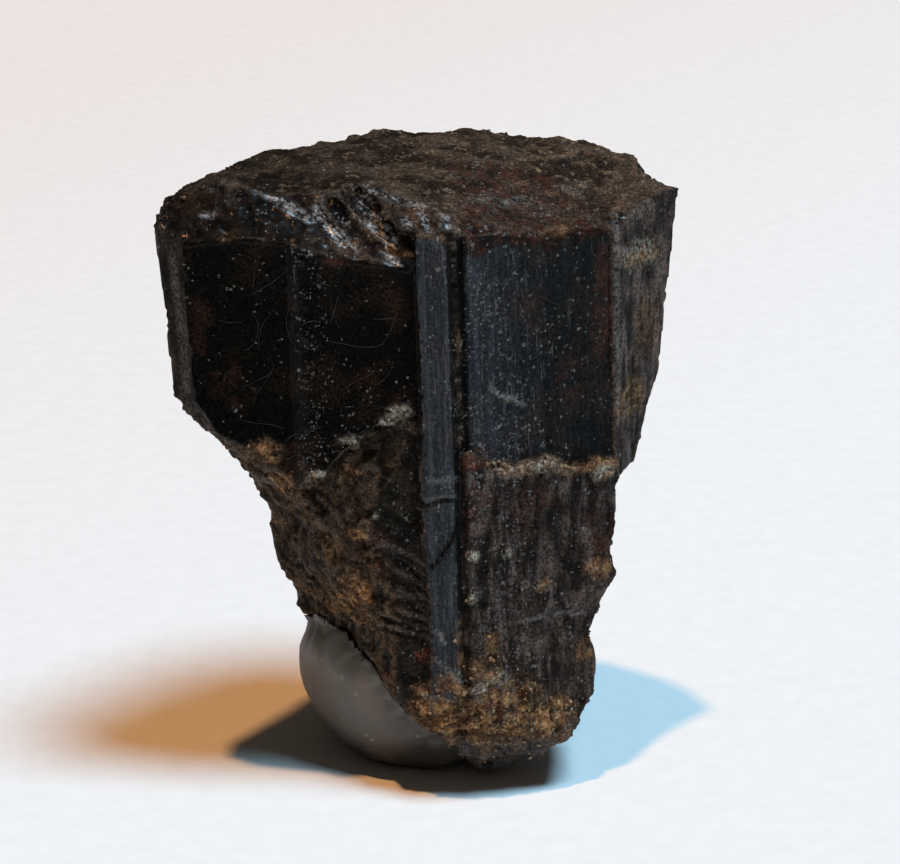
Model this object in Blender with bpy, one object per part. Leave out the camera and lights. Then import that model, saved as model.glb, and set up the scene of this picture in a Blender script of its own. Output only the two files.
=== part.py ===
"""A painite crystal standing on its narrow broken end, held up by a lump of grey mineral putty.

The front of the crystal faces -Y, +X is to its right and +Z is up. The origin is on the
putty's flat foot. All sizes below are in millimetres and are turned into metres by mm().
"""

import math
import random

import bmesh
import bpy
from mathutils import Matrix, Vector, noise

# Driving dimensions (mm)
WIDTH = 10.0
DEPTH = 5.75
TOP_Z = 12.05
LEAN_DEG = -1.85
CRYSTAL_PLACE = (-0.12, -0.52, 0.0)
TIP_Z = 0.12

# Grown surface (mm)
STRIP_PROUD = 0.14
GROOVE_WIDTH = 0.16
GROOVE_DEPTH = 0.15
LEDGE_STEP = 0.14
DULL_FACE_STEP = 0.10
STEP_SLANT = 0.035
PRISM_SPARE = 1.0

# Putty (mm)
PUTTY_RADII = (2.7, 2.45, 2.45)
PUTTY_MIDDLE = (-0.2, -0.1, 1.95)
PUTTY_DENT = 0.22
SOCKET_TOP_Z = 5.0
SOCKET_CLEARANCE = 1.03
SOCKET_WELD = 0.03

# Relief of the broken surfaces (mm)
FRACTURE_STEP = 0.4
REACH = 9.0
FLUTE_HALF_WIDTH = 0.27
FLUTE_HOLLOW = 0.20


def mm(*values):
    return Vector(values) * 0.001


def clear_scene():
    for thing in list(bpy.data.objects):
        bpy.data.objects.remove(thing)


def mineral(name, colour, roughness):
    material = bpy.data.materials.new(name)
    material.use_nodes = True
    shader = material.node_tree.nodes["Principled BSDF"]
    shader.inputs["Base Color"].default_value = (*colour, 1.0)
    shader.inputs["Roughness"].default_value = roughness
    shader.inputs["Metallic"].default_value = 0.0
    return material


def object_from(name, shape, parent=None):
    """A bmesh made into an object, with its normals pointing out."""
    bmesh.ops.recalc_face_normals(shape, faces=shape.faces[:])
    mesh = bpy.data.meshes.new(name)
    shape.to_mesh(mesh)
    shape.free()
    made = bpy.data.objects.new(name, mesh)
    bpy.context.scene.collection.objects.link(made)
    made.parent = parent
    return made


def cut(body, cutter):
    cutter.hide_render = True
    cutter.display_type = "WIRE"
    modifier = body.modifiers.new(cutter.name, "BOOLEAN")
    modifier.operation = "DIFFERENCE"
    modifier.solver = "EXACT"
    modifier.object = cutter


# The grown prism

# Corners of the cross-section at the top, in order round the crystal from its left flank: x, y,
# how far the corner draws in towards the axis for each mm further down, and the width and the
# relief of the striations on the face that follows it.
HALF_WIDTH = WIDTH / 2
FRONT_Y = -DEPTH / 2
BACK_Y = DEPTH / 2
GROOVE_X = 0.52
EDGE_X = 3.62
EDGE_BACK = 1.35
STRIP_SIDE_Y = FRONT_Y + 0.16
CORNERS = (
    (-HALF_WIDTH + 0.05, FRONT_Y + 0.85, 0.055, 0.50, 0.000),
    (-4.46, FRONT_Y + 0.50, 0.030, 0.75, 0.012),
    (-2.44, FRONT_Y + 0.32, 0.000, 0.60, 0.000),
    (-2.38, FRONT_Y + 0.24, 0.000, 0.60, 0.000),
    (-2.28, FRONT_Y + 0.24, 0.000, 0.60, 0.000),
    (-2.22, FRONT_Y + 0.28, 0.000, 0.75, 0.012),
    (-0.07, STRIP_SIDE_Y + STRIP_PROUD, 0.000, 0.60, 0.000),
    (-0.07, STRIP_SIDE_Y, 0.000, 0.60, 0.000),
    (GROOVE_X, FRONT_Y, 0.000, 0.60, 0.000),
    (GROOVE_X + 0.02, FRONT_Y + GROOVE_DEPTH, 0.000, 0.60, 0.000),
    (GROOVE_X + GROOVE_WIDTH, FRONT_Y + GROOVE_DEPTH, 0.000, 0.60, 0.000),
    (GROOVE_X + GROOVE_WIDTH + 0.03, FRONT_Y + 0.03, 0.000, 0.22, 0.035),
    (EDGE_X, FRONT_Y + EDGE_BACK, 0.000, 0.35, 0.020),
    (HALF_WIDTH, FRONT_Y + 2.75, 0.115, 0.50, 0.030),
    (4.50, BACK_Y - 1.85, 0.100, 0.50, 0.030),
    (2.85, BACK_Y - 0.50, 0.030, 0.45, 0.035),
    (0.80, BACK_Y, 0.030, 0.45, 0.035),
    (-0.95, BACK_Y, 0.030, 0.45, 0.035),
    (-3.50, BACK_Y - 2.50, 0.030, 0.50, 0.030),
)


def striated_face(start, end, width, relief, rng):
    """(point, share of the way along) down one face, stepped in and out at its growth striations."""
    along = end - start
    out = Vector((along.y, -along.x)).normalized()
    count = max(1, round(along.length / width))
    points = [(start, 0.0)]
    level = 0.0
    for i in range(1, count if relief else 1):
        share = (i + rng.uniform(-0.3, 0.3)) / count
        place = start + along * share
        points.append((place + out * level, share))
        level = rng.uniform(-relief, relief)
        points.append((place + out * level + along.normalized() * STEP_SLANT, share))
    return points


def prism_outline():
    """(point, draw-in per mm) round the cross-section at the top."""
    rng = random.Random(3)
    outline = []
    for i, (x, y, draw_in, width, relief) in enumerate(CORNERS):
        next_x, next_y, next_draw_in = CORNERS[(i + 1) % len(CORNERS)][:3]
        for place, share in striated_face(Vector((x, y)), Vector((next_x, next_y)), width, relief, rng):
            outline.append((place, draw_in + (next_draw_in - draw_in) * share))
    return outline


def grown_prism(parent):
    shape = bmesh.new()
    rings = []
    for z in (TOP_Z + PRISM_SPARE, -PRISM_SPARE):
        ring = []
        for place, draw_in in prism_outline():
            at = place - place.normalized() * draw_in * (TOP_Z - z)
            ring.append(shape.verts.new(mm(at.x, at.y, z)))
        rings.append(ring)
    upper, lower = rings
    count = len(upper)
    for i in range(count):
        j = (i + 1) % count
        shape.faces.new((upper[i], lower[i], lower[j], upper[j]))
    shape.faces.new(upper)
    shape.faces.new(reversed(lower))
    bmesh.ops.triangulate(shape, faces=shape.faces[:])
    return object_from("crystal", shape, parent)


# Broken surfaces


def resampled(path, step):
    """The polyline through `path` with a point about every `step` mm."""
    points = [Vector(path[0])]
    for a, b in zip(path, path[1:]):
        a, b = Vector(a), Vector(b)
        pieces = max(1, round((b - a).length / step))
        points += [a.lerp(b, (i + 1) / pieces) for i in range(pieces)]
    return points


def hackly(place, relief, seed):
    """Height of a splintery break: rolling, with short steps."""
    shifted = place * 0.55 + Vector((seed * 7.3, seed * 3.1, seed * 5.7))
    rolling = noise.fractal(shifted, 0.9, 2.1, 3)
    stepped = math.floor(noise.noise(shifted * 1.9) * 4.0) / 4.0
    return relief * (rolling + 0.7 * stepped)


def fracture(name, path, sweep, away, relief, seed, parent, step=FRACTURE_STEP, ends=(-REACH, REACH)):
    """A cutter whose face is a rough sheet, `path` swept along `sweep`. It removes the `away` side."""
    sweep = Vector(sweep).normalized()
    away = Vector(away).normalized()
    rows = resampled([sweep * ends[0], sweep * ends[1]], step)
    columns = resampled(path, step)
    shape = bmesh.new()
    grid = []
    for row in rows:
        line = []
        for column in columns:
            place = row + column
            place = place + away * hackly(place, relief, seed)
            line.append(shape.verts.new(mm(*place)))
        grid.append(line)
    faces = []
    for line, following in zip(grid, grid[1:]):
        for i in range(len(line) - 1):
            faces.append(shape.faces.new((line[i], line[i + 1], following[i + 1], following[i])))
    pushed = bmesh.ops.extrude_face_region(shape, geom=faces, use_keep_orig=True)
    moved = [v for v in pushed["geom"] if isinstance(v, bmesh.types.BMVert)]
    bmesh.ops.translate(shape, verts=moved, vec=mm(*(away * REACH)))
    bmesh.ops.triangulate(shape, faces=shape.faces[:])
    return object_from(name, shape, parent)


def broken_surfaces(parent):
    """The cutters that break the prism: its top and front rim, both flanks, the back and the base."""
    yield fracture(
        "top_break",
        [(-7.0, 0, TOP_Z - 0.3), (-4.4, 0, TOP_Z), (-3.4, 0, TOP_Z + 0.12), (-2.0, 0, TOP_Z + 0.1),
         (1.0, 0, TOP_Z), (3.2, 0, TOP_Z - 0.1), (4.2, 0, TOP_Z - 0.2), (4.3, 0, TOP_Z - 0.45),
         (5.0, 0, TOP_Z - 0.6), (7.0, 0, TOP_Z - 0.9)],
        sweep=(0, 1, 0), away=(0, 0, 1), relief=0.14, seed=1, parent=parent, ends=(-6.5, 6.5),
    )
    yield fracture(
        "front_rim_break",
        [(0, FRONT_Y - 2.0, TOP_Z - 2.4), (0, FRONT_Y + 0.15, TOP_Z - 0.75),
         (0, FRONT_Y + 0.62, TOP_Z - 0.30), (0, FRONT_Y + 1.05, TOP_Z + 0.15),
         (0, FRONT_Y + 2.5, TOP_Z + 1.6)],
        sweep=(1, -0.06, 0.01), away=(0, -0.6, 1), relief=0.10, seed=7, parent=parent, step=0.3,
    )
    yield fracture(
        "low_rim_break",
        [(0, FRONT_Y - 2.2, TOP_Z - 3.8), (0, FRONT_Y + 0.28, TOP_Z - 1.52),
         (-0.4, FRONT_Y + 0.60, TOP_Z - 0.82), (-1.1, FRONT_Y + 1.00, TOP_Z + 0.10),
         (-2.0, FRONT_Y + 2.4, TOP_Z + 1.9)],
        sweep=(1, 0, -0.34), away=(0, -0.6, 1), relief=0.10, seed=9, parent=parent, step=0.3,
        ends=(-6.5, -0.08),
    )
    yield fracture(
        "right_top_break",
        [(-7.0, FRONT_Y, TOP_Z + 1.6), (-1.4, FRONT_Y, TOP_Z), (-0.4, FRONT_Y, TOP_Z - 0.25),
         (0.6, FRONT_Y, TOP_Z - 0.50), (1.8, FRONT_Y, TOP_Z - 0.95), (3.3, FRONT_Y, TOP_Z - 1.20),
         (5.0, FRONT_Y, TOP_Z - 1.10), (7.0, FRONT_Y, TOP_Z - 1.0)],
        sweep=(0, 1, 0.26), away=(0, -0.2, 1), relief=0.10, seed=12, parent=parent, step=0.35,
    )
    slope = EDGE_BACK / (EDGE_X - GROOVE_X)
    yield fracture(
        "right_rim_break",
        [(0, FRONT_Y - 1.2, TOP_Z - 2.4), (0, FRONT_Y - 0.20, TOP_Z - 0.95),
         (0, FRONT_Y + 0.05, TOP_Z - 0.60), (0, FRONT_Y + 0.9, TOP_Z + 0.50)],
        sweep=(1, slope, -0.06), away=(0, -0.6, 1), relief=0.07, seed=13, parent=parent, step=0.3,
    )
    yield fracture(
        "left_break",
        [(-8.4, -2.7, 9.4), (-4.70, -1.78, 8.2), (-4.53, -1.49, 7.6), (-4.14, -0.85, 7.1),
         (-3.84, -0.35, 6.5), (-3.32, 0.50, 5.4), (-3.23, 0.60, 5.1), (-3.28, 0.55, 4.6),
         (-3.21, 0.60, 4.1), (-2.87, 0.95, 3.2), (-2.75, 0.95, 2.4), (-2.70, 0.95, -1.4)],
        sweep=(0.52, -0.854, 0), away=(-1, -0.5, -0.25), relief=0.12, seed=2, parent=parent,
    )
    yield fracture(
        "right_break",
        [(8.4, 1.9, 9.6), (4.58, 0.0, 8.0), (4.38, 0.0, 7.5), (4.08, 0.0, 6.8), (3.86, 0.0, 6.3),
         (3.55, -0.7, 6.1), (3.60, -1.4, 5.8), (3.60, -1.4, 5.1), (3.44, -1.4, 4.7), (3.54, -1.4, 4.2),
         (3.24, -1.4, 3.85), (2.92, -1.4, 3.1), (3.03, -1.4, 2.5), (3.00, -1.4, 1.7), (2.80, -1.4, -1.4)],
        sweep=(-0.1, 1, 0), away=(1, 0.1, -0.25), relief=0.10, seed=3, parent=parent, step=0.3,
    )
    yield fracture(
        "back_break",
        [(0, BACK_Y + 3.2, 9.9), (0, BACK_Y + 0.1, 8.5), (0, BACK_Y - 0.4, 6.5), (0, BACK_Y - 0.9, 4.4),
         (0, BACK_Y - 1.6, 2.4), (0, BACK_Y - 2.7, 0.7), (0, BACK_Y - 4.0, -0.9)],
        sweep=(1, 0.12, 0), away=(0, 1, -0.5), relief=0.22, seed=4, parent=parent, step=0.5,
    )
    yield fracture(
        "left_underside",
        [(-6.0, -1.2, 3.6), (-2.9, -1.2, 3.95), (-2.34, -1.2, 3.35), (-1.76, -1.2, 2.9), (-1.09, -1.2, 2.4),
         (-0.84, -1.2, 1.7), (-0.31, -1.2, 1.05), (0.48, -1.2, 0.4), (1.2, -1.2, -0.3), (2.0, -1.2, -2.0)],
        sweep=(-0.03, 1, -0.404), away=(-0.35, 0, -1), relief=0.06, seed=14, parent=parent,
    )
    yield fracture(
        "underside",
        [(-4.0, 2.0, -0.9), (-0.35, -0.8, 0.1), (0.8, -1.2, TIP_Z), (1.45, -1.2, 0.3), (2.0, -1.3, 0.6),
         (2.7, -1.3, 1.15), (3.05, -1.3, 1.8), (6.0, -1.0, 3.9)],
        sweep=(0.15, 1, 0.14), away=(0, 0.1, -1), relief=0.04, seed=5, parent=parent,
    )
    yield fracture(
        "base_front",
        [(0, FRONT_Y - 3.6, 5.2), (0, FRONT_Y, 2.5), (0, FRONT_Y + 0.3, 1.6), (0, FRONT_Y + 0.9, 0.8),
         (0, FRONT_Y + 1.7, 0.0), (0, FRONT_Y + 3.4, -1.2)],
        sweep=(1, 0.05, 0), away=(0, -0.7, -0.7), relief=0.14, seed=6, parent=parent,
    )


def rim_flutes(parent):
    """The narrow shell-shaped chips down the front rim, side by side, running to the lower right."""
    run = Vector((0.69, -0.45, -0.57)).normalized()
    outward = Vector((0.0, -0.78, 0.62))
    across = outward.cross(run).normalized()
    turn = Matrix((across, run.cross(across), run)).transposed().to_4x4()
    flutes = (
        (-2.70, -2.12, 11.85, 0.9), (-2.10, -2.30, 11.65, 0.9), (-1.55, -2.42, 11.38, 1.0),
        (-1.05, -2.32, 11.40, 1.0), (-0.72, -2.12, 11.60, 1.1),
    )
    for i, (x, y, z, reach) in enumerate(flutes):
        shape = bmesh.new()
        bmesh.ops.create_icosphere(shape, subdivisions=2, radius=1.0)
        stretch = Matrix.Diagonal(mm(FLUTE_HALF_WIDTH, FLUTE_HOLLOW, reach)).to_4x4()
        place = Matrix.Translation(mm(x, y, z))
        bmesh.ops.transform(shape, matrix=place @ turn @ stretch, verts=shape.verts[:])
        yield object_from(f"rim_flute_{i + 1}", shape, parent)


def height_along(line, x):
    """The height of a wandering line of (x, z) points at x."""
    for (x_a, z_a), (x_b, z_b) in zip(line, line[1:]):
        if x <= x_b:
            return z_a + (z_b - z_a) * (x - x_a) / (x_b - x_a)
    return line[-1][1]


def ledge_step(parent):
    """The right front face steps back above its ledge, and is striated there too."""
    ledge = (
        (0.5, 6.90), (0.75, 7.15), (1.15, 6.85), (1.7, 6.72),
        (2.2, 6.80), (2.75, 6.55), (3.2, 6.60), (6.0, 6.2),
    )
    slope = EDGE_BACK / (EDGE_X - GROOVE_X)
    ends = [Vector((x, FRONT_Y + slope * (x - GROOVE_X) + LEDGE_STEP)) for x in (GROOVE_X + 0.10, 6.0)]
    stations = [place for place, _ in striated_face(*ends, 0.20, 0.03, random.Random(11))] + [ends[1]]
    shape = bmesh.new()
    frames = []
    for at in stations:
        low, high = height_along(ledge, at.x), TOP_Z + 2.0
        corners = ((0.0, low), (0.0, high), (-2.0, high), (-2.0, low))
        frames.append([shape.verts.new(mm(at.x, at.y + out, z)) for out, z in corners])
    shape.faces.new(frames[0])
    shape.faces.new(reversed(frames[-1]))
    for frame, following in zip(frames, frames[1:]):
        for i in range(4):
            j = (i + 1) % 4
            shape.faces.new((frame[i], frame[j], following[j], following[i]))
    bmesh.ops.triangulate(shape, faces=shape.faces[:])
    return object_from("ledge_step", shape, parent)


def dull_face_step(parent):
    """The left front face is broken back below z 7.7, up to the edge of the glossy strip."""
    strip_y = STRIP_SIDE_Y + STRIP_PROUD + DULL_FACE_STEP
    return fracture(
        "dull_face_step",
        [(-0.09, -7.0, 7.6), (-0.09, strip_y, 7.6), (-0.6, strip_y + 0.06, 7.6),
         (-1.1, strip_y + 0.16, 7.35), (-1.5, strip_y + 0.32, 7.2), (-1.9, strip_y + 0.60, 6.6),
         (-4.6, strip_y + 2.2, 5.4), (-7.5, strip_y + 4.0, 4.2)],
        sweep=(0, 0, 1), away=(-0.3, -1, 0), relief=0.07, seed=8, parent=parent, ends=(-REACH, 0.0),
    )


def crystal(parent):
    body = grown_prism(parent)
    steps = (ledge_step(parent), dull_face_step(parent))
    for cutter in (*broken_surfaces(parent), *rim_flutes(parent), *steps):
        cut(body, cutter)
    body.data.materials.append(mineral("painite", (0.030, 0.018, 0.014), 0.32))
    return body


# The putty


def putty_lump():
    """A thumbed lump with a flat foot."""
    shape = bmesh.new()
    bmesh.ops.create_icosphere(shape, subdivisions=4, radius=1.0)
    for vertex in shape.verts:
        way = vertex.co.normalized()
        swell = 1.0 + PUTTY_DENT / PUTTY_RADII[0] * noise.noise(way * 1.3 + Vector((4.0, 1.0, 2.0)))
        vertex.co = mm(*(r * c * swell for r, c in zip(PUTTY_RADII, way)))
        vertex.co += mm(*PUTTY_MIDDLE)
        vertex.co.z = max(vertex.co.z, 0.0)
    return object_from("putty", shape)


def socket_cutter(body):
    """The convex outline of the crystal's base, a little larger, that the putty is pressed round."""
    bpy.context.view_layer.update()
    seen = body.evaluated_get(bpy.context.evaluated_depsgraph_get())
    mesh = seen.to_mesh()
    places = [seen.matrix_world @ vertex.co for vertex in mesh.vertices]
    seen.to_mesh_clear()
    shape = bmesh.new()
    for place in places:
        if place.z < SOCKET_TOP_Z * 0.001:
            shape.verts.new(place)
    bmesh.ops.remove_doubles(shape, verts=shape.verts[:], dist=SOCKET_WELD * 0.001)
    hull = bmesh.ops.convex_hull(shape, input=shape.verts[:])
    inner = [v for v in hull["geom_interior"] if isinstance(v, bmesh.types.BMVert)]
    bmesh.ops.delete(shape, geom=inner, context="VERTS")
    middle = sum((v.co for v in shape.verts), Vector()) / len(shape.verts)
    grow = Matrix.Translation(middle) @ Matrix.Scale(SOCKET_CLEARANCE, 4) @ Matrix.Translation(-middle)
    bmesh.ops.transform(shape, matrix=grow, verts=shape.verts[:])
    return object_from("putty_socket", shape)


def putty(body):
    lump = putty_lump()
    cut(lump, socket_cutter(body))
    lump.data.shade_smooth()
    lump.data.set_sharp_from_angle(angle=math.radians(40))
    lump.data.materials.append(mineral("mineral_putty", (0.22, 0.21, 0.20), 0.6))
    return lump


clear_scene()
specimen = bpy.data.objects.new("specimen", None)
bpy.context.scene.collection.objects.link(specimen)
specimen.location = mm(*CRYSTAL_PLACE)
specimen.rotation_euler.y = math.radians(LEAN_DEG)
putty(crystal(specimen))
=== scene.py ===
"""The looks of a painite crystal that stands on its broken end in a lump of grey mineral putty.

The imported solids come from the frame. The crystal's front faces -Y and +Z is up. The crystal's own
frame has the crystal's long axis as Z. Sizes are in millimetres until a mesh is finished.
"""

import math
import random

import bmesh
import bpy
import numpy as np
from mathutils import Matrix, Vector, noise
from mathutils.bvhtree import BVHTree


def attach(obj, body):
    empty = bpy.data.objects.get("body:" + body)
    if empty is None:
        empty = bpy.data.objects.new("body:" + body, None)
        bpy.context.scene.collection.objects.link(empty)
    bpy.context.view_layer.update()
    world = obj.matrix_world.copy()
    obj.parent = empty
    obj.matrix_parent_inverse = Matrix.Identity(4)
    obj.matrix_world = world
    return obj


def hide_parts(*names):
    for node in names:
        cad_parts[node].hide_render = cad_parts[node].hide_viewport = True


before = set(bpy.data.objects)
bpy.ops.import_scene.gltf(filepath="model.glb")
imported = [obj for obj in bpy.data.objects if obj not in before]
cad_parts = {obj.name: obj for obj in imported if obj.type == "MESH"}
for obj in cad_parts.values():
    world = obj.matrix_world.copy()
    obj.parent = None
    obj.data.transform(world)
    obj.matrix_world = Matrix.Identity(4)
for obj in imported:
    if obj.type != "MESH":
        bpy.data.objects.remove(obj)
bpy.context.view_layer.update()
scene = bpy.context.scene


# The crystal: one prism of painite, black and glassy on its grown faces, striated along its length,
# with a splintery brown break on top, down both flanks, at the back and at the tip. It grew as one
# piece, so its solid is remeshed finely and the relief of each kind of surface is cut into that.

MM = 0.001
LEAN = math.radians(-1.85)
CRYSTAL_PLACE = Vector((-0.12, -0.52, 0.0))
CRYSTAL_STEP = 0.063  # across one remeshed face
FAR_AWAY = 99.0

TOP_Z = 12.05
RIM_Z = 10.3  # the chipped front rim lies above this
FACE_FIT = 0.10  # a place this near a grown face belongs to it

# Corners of the grown prism at TOP_Z, round from the left flank: x, y and the draw-in per mm down.
# Each face has the number of the corner that it starts from.
PRISM = (
    (-4.95, -2.025, 0.055), (-4.46, -2.375, 0.030), (-2.44, -2.555, 0.0), (-2.38, -2.635, 0.0),
    (-2.28, -2.635, 0.0), (-2.22, -2.595, 0.0), (-0.07, -2.575, 0.0), (-0.07, -2.715, 0.0),
    (0.52, -2.875, 0.0), (0.54, -2.725, 0.0), (0.68, -2.725, 0.0), (0.71, -2.845, 0.0),
    (3.62, -1.525, 0.0), (5.00, -0.125, 0.115), (4.50, 1.025, 0.100), (2.85, 2.375, 0.030),
    (0.80, 2.875, 0.030), (-0.95, 2.875, 0.030), (-3.50, 0.375, 0.030),
)
FAR_LEFT, BLACK_LEFT, RIB_LEFT, RIB, RIB_RIGHT, BLACK_RIGHT, STRIP_SIDE, STRIP = range(8)
GROOVE_LEFT, GROOVE, GROOVE_RIGHT, RIGHT_FRONT, RIGHT_SIDE = range(8, 13)
RIB_X = -2.12

# The ledge across the right front face, as x and z, and how far the face above it is set back
LEDGE = (
    (0.50, 6.90), (0.75, 7.15), (1.15, 6.85), (1.70, 6.72), (2.20, 6.80), (2.75, 6.55), (3.20, 6.60),
    (6.0, 6.2),
)
LEDGE_SETBACK = 0.14

# The dull face that was uncovered under the black one left of the strip: its upper edge, as x and z
DULL_EDGE = (
    (-2.6, 6.3), (-2.35, 6.7), (-1.9, 6.85), (-1.45, 7.35), (-0.95, 7.7), (-0.5, 7.85), (0.0, 7.65),
)
DULL_SETBACK = 0.10

# The solid's own steps on the right faces: the share that is flattened before finer lines go on
FLATTENED = 0.65
STEP_REACH = 0.08

# Direction in which the shell-shaped chips of the front rim run
CHIP_RUN = Vector((0.69, -0.45, -0.57))
CHIP_TURN = math.atan2(0.69, 0.57)

# Patches on the front, each as x, z, half width, half height and strength
TIP_EARTH = (
    (0.2, 1.95, 0.9, 0.75, 1.0), (1.2, 1.75, 1.15, 0.95, 1.0), (2.1, 1.6, 0.7, 0.5, 0.9),
    (0.2, 2.4, 0.35, 0.5, 0.8), (0.9, 2.7, 0.5, 0.45, 0.7), (1.1, 3.1, 0.25, 0.5, 0.5),
)
TIP_MIDDLE, TIP_RADII = (1.0, -1.9, 0.9), (2.2, 1.6, 1.3)
OTHER_EARTH = (
    (-1.44, 5.43, 0.30, 0.16, 1.0), (-1.48, 6.70, 0.26, 0.14, 0.9), (-1.5, 4.2, 0.45, 0.6, 0.75),
    (-1.7, 3.7, 0.6, 0.7, 0.6), (-1.9, 4.9, 0.4, 0.5, 0.4), (-1.35, 3.5, 0.4, 0.5, 0.6),
    (-3.1, 7.2, 0.5, 0.35, 0.7), (-2.75, 6.4, 0.35, 0.6, 0.7), (4.20, 10.36, 0.60, 0.22, 0.6),
    (4.3, 9.0, 0.40, 0.9, 0.25), (3.9, 7.6, 0.4, 0.5, 0.45), (2.2, 4.3, 0.4, 0.2, 0.45),
    (3.3, 4.5, 0.35, 0.35, 0.6), (2.9, 2.8, 0.25, 0.4, 0.5), (-3.56, 11.44, 0.3, 0.10, 0.8),
    (-4.2, 11.9, 0.5, 0.2, 0.45), (0.5, 3.35, 0.10, 0.8, 0.35), (2.55, 11.15, 0.5, 0.12, 0.3),
)
PALE_CRUST = (
    (-0.47, 7.95, 0.32, 0.20, 0.7), (-0.76, 7.76, 0.20, 0.13, 0.8), (-1.43, 7.45, 0.30, 0.10, 0.6),
    (-2.02, 6.80, 0.30, 0.06, 0.6), (0.82, 2.40, 0.28, 0.16, 1.0), (0.77, 5.14, 0.15, 0.15, 1.0),
    (1.45, 5.07, 0.15, 0.13, 0.9), (0.76, 4.25, 0.15, 0.12, 1.0), (-1.01, 5.84, 0.09, 0.07, 0.9),
    (-0.1, 2.2, 0.25, 0.15, 0.5), (2.15, 6.64, 0.35, 0.12, 0.8), (3.3, 6.35, 0.3, 0.2, 0.9),
    (1.2, 2.55, 0.3, 0.2, 0.5), (1.55, 8.05, 0.12, 0.08, 0.4), (4.15, 10.45, 0.55, 0.40, 0.40),
    (2.6, 11.55, 0.8, 0.10, 0.5), (1.1, 11.74, 0.6, 0.08, 0.45), (0.1, 11.85, 0.3, 0.06, 0.4),
)
# Where the stone's red is painted as a glow, as if light showed through it
RED_GLOW = (
    (-0.16, 3.05, 0.30, 0.35, 1.0), (0.90, 6.98, 0.40, 0.26, 1.0), (-3.63, 8.55, 0.6, 0.7, 0.30),
    (-2.39, 7.13, 0.5, 0.35, 0.4), (-0.45, 8.3, 0.30, 0.40, 0.30), (-1.1, 8.6, 0.35, 0.4, 0.20),
    (-1.06, 5.04, 0.6, 0.6, 0.55), (3.40, 9.6, 0.28, 1.7, 0.6), (3.25, 5.0, 0.5, 0.9, 0.6),
    (-0.59, 9.96, 0.25, 0.5, 0.25), (0.9, 5.9, 0.25, 0.8, 0.45), (1.3, 2.9, 0.3, 0.4, 0.5),
    (-4.1, 9.6, 0.35, 0.9, 0.20), (-1.6, 10.9, 0.35, 0.15, 0.5), (3.3, 11.2, 0.25, 0.25, 0.5),
    (2.1, 9.7, 0.35, 0.55, 0.4), (2.75, 8.3, 0.35, 0.9, 0.3), (0.95, 6.2, 0.4, 0.6, 0.75),
    (2.0, 5.9, 0.6, 0.7, 0.45),
)
CREST_MIDDLE, CREST_RADII = (1.8, -2.2, 11.75), (2.6, 1.2, 0.55)

# Lines on the front, each as its (x, z) points, half width and strength
# Flutes of the rim with painted silver glints on their ribs
GLINTING_FLUTES = (
    (((-2.98, 12.18), (-2.65, 11.98), (-2.35, 11.80)), 0.17, 0.8),
    (((-2.35, 11.85), (-2.00, 11.60)), 0.12, 0.7),
    (((-1.90, 11.74), (-1.55, 11.35), (-1.12, 10.90)), 0.14, 1.0),
    (((-1.10, 12.00), (-0.85, 11.55), (-0.50, 11.10)), 0.17, 1.0),
    (((-0.64, 11.00), (-0.40, 10.76)), 0.14, 1.0), (((-0.25, 11.60), (-0.05, 11.20)), 0.12, 0.9),
    (((-0.90, 12.05), (-0.30, 11.92), (0.30, 11.85)), 0.08, 0.6),
    (((0.30, 11.85), (1.60, 11.62), (3.20, 11.50)), 0.10, 0.6),
    (((-4.05, 11.75), (-3.80, 11.72)), 0.08, 0.6), (((0.02, 11.82), (0.18, 11.48)), 0.08, 0.7),
    (((0.44, 11.78), (0.56, 11.50)), 0.07, 0.6), (((1.20, 11.68), (1.45, 11.46)), 0.08, 0.5),
    (((2.10, 11.62), (2.32, 11.44)), 0.08, 0.5), (((2.85, 11.58), (3.05, 11.42)), 0.08, 0.5),
)
# Flutes of the rim that are painted in shade
SHADED_FLUTES = (
    (((-1.50, 11.80), (-1.10, 11.35), (-0.78, 10.95)), 0.12, 1.0),
    (((-0.72, 12.05), (-0.35, 11.60), (-0.15, 11.30)), 0.17, 0.9),
    (((-2.20, 11.70), (-1.80, 11.25), (-1.40, 10.80)), 0.14, 0.7),
    (((0.20, 11.80), (0.36, 11.45)), 0.10, 0.8), (((0.70, 11.76), (0.95, 11.48)), 0.12, 0.7),
    (((1.60, 11.66), (1.85, 11.44)), 0.13, 0.7), (((2.50, 11.60), (2.70, 11.42)), 0.12, 0.6),
)
SCRATCHES = (
    (((3.68, 11.2), (3.66, 7.6)), 0.10, 0.35), (((-4.60, 11.0), (-4.46, 8.4)), 0.12, 0.30),
    (((1.22, 8.38), (1.40, 8.17), (1.66, 8.06), (1.87, 7.90)), 0.05, 1.0),
    (((-0.06, 6.24), (0.22, 6.32), (0.51, 6.36)), 0.06, 0.5),
    (((0.02, 6.62), (0.28, 6.66), (0.54, 6.70)), 0.09, 0.45),
    (((0.02, 3.05), (0.38, 2.72), (0.52, 2.58)), 0.06, 0.6),
    (((1.6, 3.62), (2.2, 3.66), (2.9, 3.55)), 0.06, 0.5),
    (((0.04, 3.60), (0.19, 3.57), (0.14, 3.44), (0.23, 3.36)), 0.05, 1.0),
)
STRIP_CRACKS = (
    (((-0.01, 4.86), (0.22, 5.15), (0.40, 5.45), (0.54, 5.78)), 0.08, 1.0),
    (((-0.03, 6.12), (0.12, 6.22), (0.45, 6.28)), 0.06, 1.0),
)

# The fan of cracks left of the strip: how many, the height of the first one's foot, the drop from
# one to the next, and the x of their feet
FAN_COUNT, FAN_Z, FAN_PITCH, FAN_X = 11, 4.75, 0.16, -0.1

# Heights and depths of single marks
CRUST_LIFT, CRUST_GRAIN = 0.03, 0.04
FLAKE_LIFT, CRACK_DEPTH = 0.03, 0.045
NICK_DEPTH = 0.045
FLUTE_DEPTH = 0.04
HOLLOW_ROUNDS, HOLLOW_DEPTH = 6, 0.03

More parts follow.
